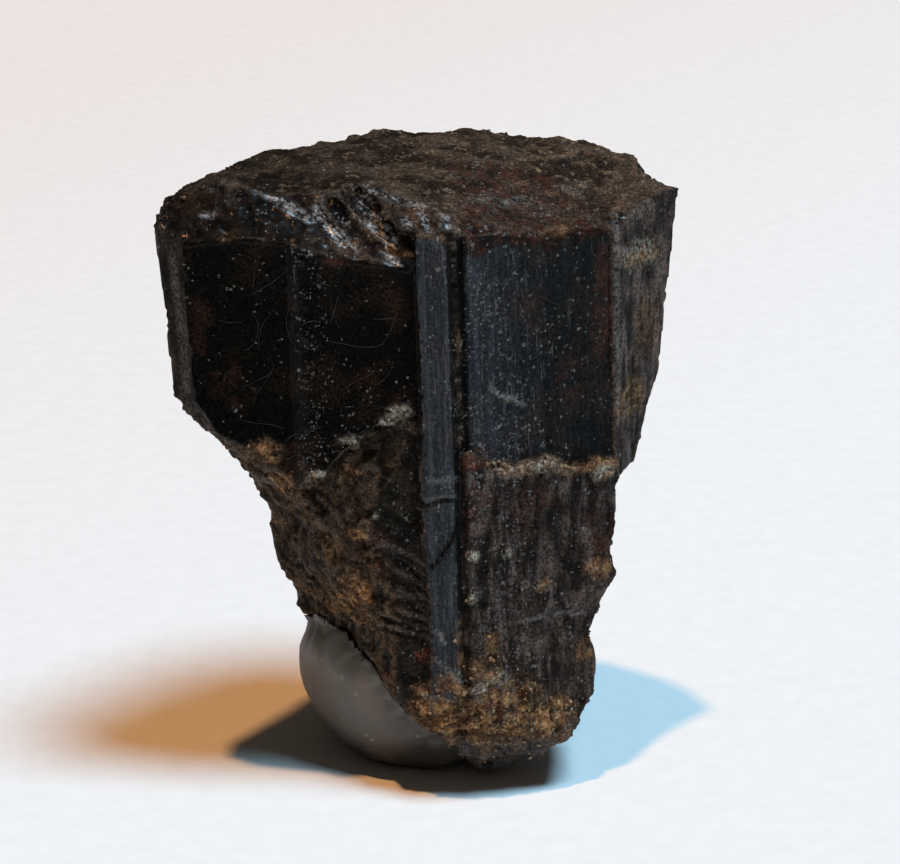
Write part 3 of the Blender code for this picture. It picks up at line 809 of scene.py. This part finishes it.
    rough = blended(tree, patches(0.2, 0.4, 0.6), 0.55, 0.85)
    rough = blended(tree, mirror, rough, 0.25)
    rough = blended(tree, most(tree, earth, pale), rough, 0.9)
    rough = blended(tree, specks, rough, 0.8)
    tree.links.new(rough, shader.inputs["Roughness"])

    # The glassy lustre is a coat, thin where the stone is dull, filmed or earthy
    lustre = blended(tree, rim, 0.03, times(tree, patches(0.14, 0.52, 0.62), 0.45))
    lustre = blended(tree, gloss_and_glint, lustre, 1.0)
    lustre = blended(tree, mirror, lustre, 0.20)
    worn = times(tree, mirror, most(tree, hollow, ridge))
    lustre = times(tree, lustre, blended(tree, worn, 1.0, 0.0))
    veil = most(tree, most(tree, film_and_sheen, haze_and_sheen), most(tree, earth, most(tree, pale, top)))
    lustre = times(tree, lustre, blended(tree, veil, 1.0, 0.06))
    lustre = times(tree, lustre, blended(tree, specks, 1.0, 0.0))
    tree.links.new(lustre, shader.inputs["Coat Weight"])
    shader.inputs["Coat Roughness"].default_value = 0.2
    shader.inputs["Coat IOR"].default_value = 1.6
    shader.inputs["Specular IOR Level"].default_value = 0.06
    shader.inputs["IOR"].default_value = 1.6

    # Grit on the breaks, fine growth lines on the grown faces, and the specks on both
    grit = times(tree, noise_on(tree, place, 0.0625, 5.0), 3.0)
    relief = blended(tree, grown, grit, noise_on(tree, growth_way, 0.07, 3.0))
    relief = add(tree, "ShaderNodeMath", {0: relief, 1: times(tree, specks, 0.8)}, operation="ADD")
    bumpy(tree, shader, relief.outputs[0], 0.6, 0.01)
    return material


crystal.data.materials.append(painite_material())
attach(crystal, "root")
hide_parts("crystal")


# Grains of earth: crumbs of tan soil and pale mineral that cling to the tip, to the ledge and to the
# front, each an irregular lump sunk a little less than half of its depth into the crystal.

GRAIN_COUNT = 900
GRAIN_RADII = (0.012, 0.045)
GRAIN_SINK = 0.45
GRAIN_RAGGED = 0.25
GRAIN_SQUASH = (0.65, 1.2)
GRAIN_STRAY = 0.02
# Tints from dark soil to pale mineral, each with its place on the scale of 0 to 1
GRAIN_TINTS = (
    (0.0, (0.035, 0.019, 0.010)), (0.4, (0.11, 0.060, 0.028)), (0.7, (0.21, 0.125, 0.060)),
    (0.92, (0.30, 0.20, 0.11)), (1.0, (0.36, 0.31, 0.23)),
)

surface = BVHTree.FromPolygons(
    [Vector(v.co) for v in skin.vertices], [tuple(p.vertices) for p in skin.polygons],
)


def grain_shape():
    """The corners and the faces of a round lump with a radius of 1."""
    lump = bmesh.new()
    bmesh.ops.create_icosphere(lump, subdivisions=2, radius=1.0)
    corners = np.array([v.co for v in lump.verts])
    faces = np.array([[v.index for v in f.verts] for f in lump.faces])
    lump.free()
    return corners, faces


def earth_grains(rng, weights):
    """Lumps of random size on points drawn by weight, and the tint of each."""
    corners, faces = grain_shape()
    small, large = GRAIN_RADII
    spots = read_places(skin)
    out = read_normals(skin)
    chosen = rng.choice(len(spots), GRAIN_COUNT, p=weights / weights.sum())
    all_corners, all_faces, tints = [], [], []
    for i, spot in enumerate(chosen):
        radius = small + (large - small) * rng.random() ** 2.5
        turn = np.linalg.qr(rng.normal(size=(3, 3)))[0]
        waves = np.sin(corners @ rng.normal(size=(3, 2)) * 2.2).sum(axis=1)
        lump = corners * (1.0 + GRAIN_RAGGED * waves)[:, None]
        lump = (lump * rng.uniform(*GRAIN_SQUASH, 3)) @ turn.T * radius * MM
        middle = spots[spot] + rng.normal(size=3) * GRAIN_STRAY * MM
        middle = middle + out[spot] * radius * MM * (1.0 - 2.0 * GRAIN_SINK)
        all_corners.append(lump + middle)
        all_faces.append(faces + i * len(corners))
        tints.append(np.full(len(corners), rng.random()))
    mesh = bpy.data.meshes.new("earth_grains")
    mesh.from_pydata(np.concatenate(all_corners), [], np.concatenate(all_faces))
    paint(mesh, "tint", np.concatenate(tints))
    mesh.polygons.foreach_set("use_smooth", [True] * len(mesh.polygons))
    return mesh


def earth_material():
    material, tree, shader = new_material("earth")
    place = in_mm(tree)
    ramp = add(tree, "ShaderNodeValToRGB", {"Fac": mask_on(tree, "tint")})
    elements = ramp.color_ramp.elements
    elements[0].color = colour(GRAIN_TINTS[0][1])
    elements[1].color = colour(GRAIN_TINTS[-1][1])
    for position, rgb in GRAIN_TINTS[1:-1]:
        elements.new(position).color = colour(rgb)
    crumb = noise_on(tree, place, 0.04, 4.0)
    tree.links.new(shaded(tree, ramp.outputs["Color"], 0.4, 1.6, crumb), shader.inputs["Base Color"])
    tree.links.new(blended(tree, crumb, 0.8, 0.95), shader.inputs["Roughness"])
    bumpy(tree, shader, crumb, 0.6, 0.01)
    return material


# How many grains lie where: many on the tip's earth and the ledge, few on the breaks above
grain_weights = on_front(TIP_EARTH) + ledge_line * smooth_step(0.9, 1.5, x) + 0.8 * pale
grain_weights += 0.35 * on_front(OTHER_EARTH) + 0.5 * crust + 0.01 * broken * (z < 8.0)
crumbs = bpy.data.objects.new("earth_grains", earth_grains(np.random.default_rng(7), grain_weights))
scene.collection.objects.link(crumbs)
crumbs.data.materials.append(earth_material())
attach(crumbs, "root")


# Lint: fine fibres of cloth and paper dust that lie on the crystal's faces, most of them on the black
# ones left of the strip. Each is a thin curved thread that follows the surface under it.

LINT_STEP = 0.05
LINT_RADIUS = 0.0045
LINT_THICKNESS = (0.6, 1.1)
# Fibres on the black faces and further right: how many, and the ranges of x, z and length
LINT_ON_FRONT = (
    (34, (-3.9, -0.4), (6.9, 11.0), (0.25, 1.1)),
    (14, (-0.4, 3.4), (3.2, 11.0), (0.2, 0.6)),
)
LINT_ELSEWHERE = 30
LINT_BOX = ((-4, 4), (-1, 3), (3, 12.5))
LINT_GREY = (0.010, 0.009, 0.008), (0.060, 0.057, 0.053)


def fibre(start, heading, length, curl, rng):
    """The places along a thread that wanders over the surface, in metres."""
    spot, out, _, _ = surface.find_nearest(start)
    heading = heading - out * heading.dot(out)
    path = []
    for _ in range(max(4, round(length / LINT_STEP))):
        path.append(spot + out * LINT_RADIUS * MM * 1.2)
        heading = (heading - out * heading.dot(out)).normalized()
        curl = 0.88 * curl + rng.normal() * 0.035
        heading = Matrix.Rotation(curl, 3, out) @ heading
        found = surface.find_nearest(spot + heading * LINT_STEP * MM)
        spot, out = found[0], out.lerp(found[1], 0.5).normalized()
    return path


def thread(path, radius):
    """The rings and the faces of a three-sided tube along a path."""
    corners, faces = [], []
    for i, place in enumerate(path):
        ahead = (path[min(i + 1, len(path) - 1)] - path[max(i - 1, 0)]).normalized()
        side = ahead.orthogonal().normalized()
        for k in range(3):
            corners.append(place + Matrix.Rotation(math.tau * k / 3, 3, ahead) @ side * radius)
    for i in range(len(path) - 1):
        for k in range(3):
            a, b = 3 * i + k, 3 * i + (k + 1) % 3
            faces.append((a, b, b + 3, a + 3))
    faces += [(2, 1, 0), tuple(len(corners) - 3 + k for k in range(3))]
    return corners, faces


def lint_mesh(rng):
    corners, faces = [], []

    def lay(start, heading, length, curl):
        path = fibre(start, heading, length, curl, rng)
        rings, sides = thread(path, LINT_RADIUS * MM * rng.uniform(*LINT_THICKNESS))
        faces.extend(tuple(v + len(corners) for v in side) for side in sides)
        corners.extend(rings)

    starts = []
    for count, *ranges in LINT_ON_FRONT:
        starts += [[rng.uniform(*span) for span in ranges] for _ in range(count)]
    for x_own, z_own, length in starts:
        angle = rng.uniform(0.0, math.tau)
        start = crystal_place @ (Vector((x_own, -3.0, z_own)) * MM)
        lay(start, Vector((math.cos(angle), 0.0, math.sin(angle))), length, rng.normal() * 0.06)
    for _ in range(LINT_ELSEWHERE):
        start = Vector([rng.uniform(*span) for span in LINT_BOX]) * MM
        lay(start, Vector(rng.normal(size=3)).normalized(), rng.uniform(0.2, 0.9), rng.normal() * 0.1)
    mesh = bpy.data.meshes.new("lint")
    mesh.from_pydata(corners, [], faces)
    return mesh


def lint_material():
    material, tree, shader = new_material("lint")
    place = in_mm(tree)
    soft = patches_on(tree, place, 0.15, 0.35, 0.65, detail=2.0)
    tree.links.new(mixed(tree, soft, *LINT_GREY), shader.inputs["Base Color"])
    tree.links.new(blended(tree, soft, 0.6, 0.8), shader.inputs["Roughness"])
    return material


lint = bpy.data.objects.new("lint", lint_mesh(np.random.default_rng(3)))
scene.collection.objects.link(lint)
lint.data.materials.append(lint_material())
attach(lint, "root")


# The putty: a pea-sized pinch of grey mineral putty under the crystal, rolled between the fingers and
# pressed flat on the table, so that it is smooth, a little dented and dusty. Its lip is pressed up
# against the crystal.

PUTTY_STEP = 0.08
FOOT_RISE = 0.3  # dents fade out over this height, towards the flat foot
PRESS_REACH = 0.6
PRESS_GAP = 0.02
PRESS_SHARE = 0.95
PUTTY_GREY = (0.128, 0.105, 0.084), (0.175, 0.148, 0.122)
PUTTY_DUST = (0.35, 0.33, 0.30)
# Painted shade: the putty is darker towards its foot, where the crystal shades it: from which height to
# which, and how much
FOOT_SHADE_Z = (0.6, 2.4)
FOOT_SHADE = (0.32, 1.12)


def putty_material():
    material, tree, shader = new_material("mineral putty")
    place = in_mm(tree)
    soft = patches_on(tree, place, 1.1, 0.35, 0.65, detail=3.0)
    up = add(tree, "ShaderNodeSeparateXYZ", {"Vector": place}).outputs["Z"]
    # Painted shade: darker towards the foot, lighter towards the top
    shade = shaded(tree, mixed(tree, soft, *PUTTY_GREY), *FOOT_SHADE, share_of(tree, up, *FOOT_SHADE_Z))
    specks = specks_on(tree, place, 0.10, 0.05)
    shade = mixed(tree, times(tree, specks, 0.4), shade, PUTTY_DUST)
    tree.links.new(shade, shader.inputs["Base Color"])
    tree.links.new(blended(tree, soft, 0.5, 0.62), shader.inputs["Roughness"])
    bumpy(tree, shader, noise_on(tree, place, 0.2, 4.0), 0.5, 0.03)
    return material


lump = fine_skin("putty", Matrix.Identity(4), PUTTY_STEP)
places = read_places(lump)
normals = read_normals(lump)
dents = 0.05 * rolling(places, 1.3, 21) + 0.012 * rolling(places, 0.35, 25)
places += normals * (smooth_step(0.0, FOOT_RISE, places[:, 2]) * dents)[:, None]
for i, at in enumerate(places):
    spot, out, _, gap = surface.find_nearest(Vector(at) * MM, PRESS_REACH * MM)
    if spot is not None:
        touch = spot / MM + out * PRESS_GAP
        share = PRESS_SHARE * smooth_step(PRESS_REACH, 0.3 * PRESS_REACH, gap / MM)
        places[i] += (np.array(touch) - at) * share
places[:, 2] = np.maximum(places[:, 2], 0.0)
write_places(lump, places)
lump.transform(Matrix.Scale(MM, 4))
lump.polygons.foreach_set("use_smooth", [True] * len(lump.polygons))
putty = bpy.data.objects.new("putty_lump", lump)
scene.collection.objects.link(putty)
putty.data.materials.append(putty_material())
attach(putty, "root")
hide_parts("putty")


# The table: a sheet of white paper under two lamps nearly overhead, a small warm one a little to the
# left and a large cool one to the right, so each lamp's shadow takes the other lamp's colour. A black
# card in front shows in reflections only, and keeps the paper's glare off the crystal's front.

PAPER_HALF = 0.9  # metres
PAPER_COLD, PAPER_WARM_PAINTED = (0.862, 0.880, 0.862), (0.825, 0.765, 0.710)
PAPER_WHITE = 0.82
# How far to the back left a painted warm light starts to tint the paper, and where it is fully warm
WARMER_FROM, WARMER_TO = 5.0, 85.0
CARD_CORNERS = ((-45.0, -73.0, 0.1), (45.0, -73.0, 0.1), (30.0, -8.5, 0.1), (-30.0, -8.5, 0.1))

# Each lamp: the colour that it gives white paper, its size, its lean to the left and its lean to the
# front, all three in degrees
WARM_LAMP = (0.44, 0.21, 0.08), 2.5, 5.3, 10.8
COOL_LAMP = (0.40, 0.65, 0.84), 18.0, -16.5, 11.0
ROOM_COLOUR, ROOM_LIGHT = (1.0, 0.80, 0.64), 0.04

CAMERA_PLACE = Vector((0.086, -65.574, 27.851))
CAMERA_TILT = math.radians(72.0)
CAMERA_LENS = 140.0


def paper_material():
    material, tree, shader = new_material("paper")
    place = in_mm(tree)
    fibres = patches_on(tree, place, 0.5, 0.2, 0.8, detail=6.0)
    ways = add(tree, "ShaderNodeSeparateXYZ", {"Vector": place})
    away = add(
        tree, "ShaderNodeMath", {0: ways.outputs["X"], 1: -1.5, 2: ways.outputs["Y"]},
        operation="MULTIPLY_ADD",
    ).outputs[0]
    # Painted warm light, more of it towards the back left
    painted_warmth = share_of(tree, away, WARMER_FROM, WARMER_TO)
    shade = shaded(tree, mixed(tree, painted_warmth, PAPER_COLD, PAPER_WARM_PAINTED), 0.975, 1.02, fibres)
    tree.links.new(shade, shader.inputs["Base Color"])
    tree.links.new(blended(tree, fibres, 0.85, 0.95), shader.inputs["Roughness"])
    bumpy(tree, shader, fibres, 0.25, 0.03)
    shader.inputs["Specular IOR Level"].default_value = 0.1
    return material


def black_card_material():
    material = bpy.data.materials.new("black card")
    material.use_nodes = True
    tree = material.node_tree
    tree.nodes.clear()
    dark = add(tree, "ShaderNodeEmission", {"Color": colour((0.0, 0.0, 0.0)), "Strength": 0.0})
    out = tree.nodes.new("ShaderNodeOutputMaterial")
    tree.links.new(dark.outputs[0], out.inputs["Surface"])
    return material


def sheet(name, corners, material):
    """A flat four-cornered sheet of the stage. Corners are in metres."""
    mesh = bpy.data.meshes.new(name)
    mesh.from_pydata(corners, [], [(0, 1, 2, 3)])
    mesh.materials.append(material)
    made = bpy.data.objects.new(name, mesh)
    scene.collection.objects.link(made)
    return made


def sun(name, lit, size, lean_left, lean_front):
    """A lamp that lights white paper to the colour `lit`."""
    light = bpy.data.lights.new(name, "SUN")
    peak = max(lit)
    light.color = [c / peak for c in lit]
    light.energy = math.pi * peak / PAPER_WHITE
    light.angle = math.radians(size)
    lamp = bpy.data.objects.new(name, light)
    lamp.rotation_euler = (math.radians(lean_front), math.radians(-lean_left), 0.0)
    scene.collection.objects.link(lamp)


h = PAPER_HALF
sheet("paper", [(-h, -h, 0), (h, -h, 0), (h, h, 0), (-h, h, 0)], paper_material())
card = sheet("dark_card", [Vector(corner) * MM for corner in CARD_CORNERS], black_card_material())
card.visible_camera = False
card.visible_diffuse = False
card.visible_shadow = False

sun("warm_lamp", *WARM_LAMP)
sun("cool_lamp", *COOL_LAMP)

world = bpy.data.worlds.new("room")
world.use_nodes = True
world.node_tree.nodes["Background"].inputs["Color"].default_value = colour(ROOM_COLOUR)
world.node_tree.nodes["Background"].inputs["Strength"].default_value = ROOM_LIGHT
scene.world = world
scene.view_settings.view_transform = "Standard"

camera_data = bpy.data.cameras.new("camera")
camera_data.sensor_fit = "HORIZONTAL"
camera_data.sensor_width = 36.0
camera_data.lens = CAMERA_LENS
camera_data.clip_start = 0.001
camera = bpy.data.objects.new("camera", camera_data)
camera.location = CAMERA_PLACE * MM
camera.rotation_euler = (CAMERA_TILT, 0.0, 0.0)
scene.collection.objects.link(camera)
scene.camera = camera
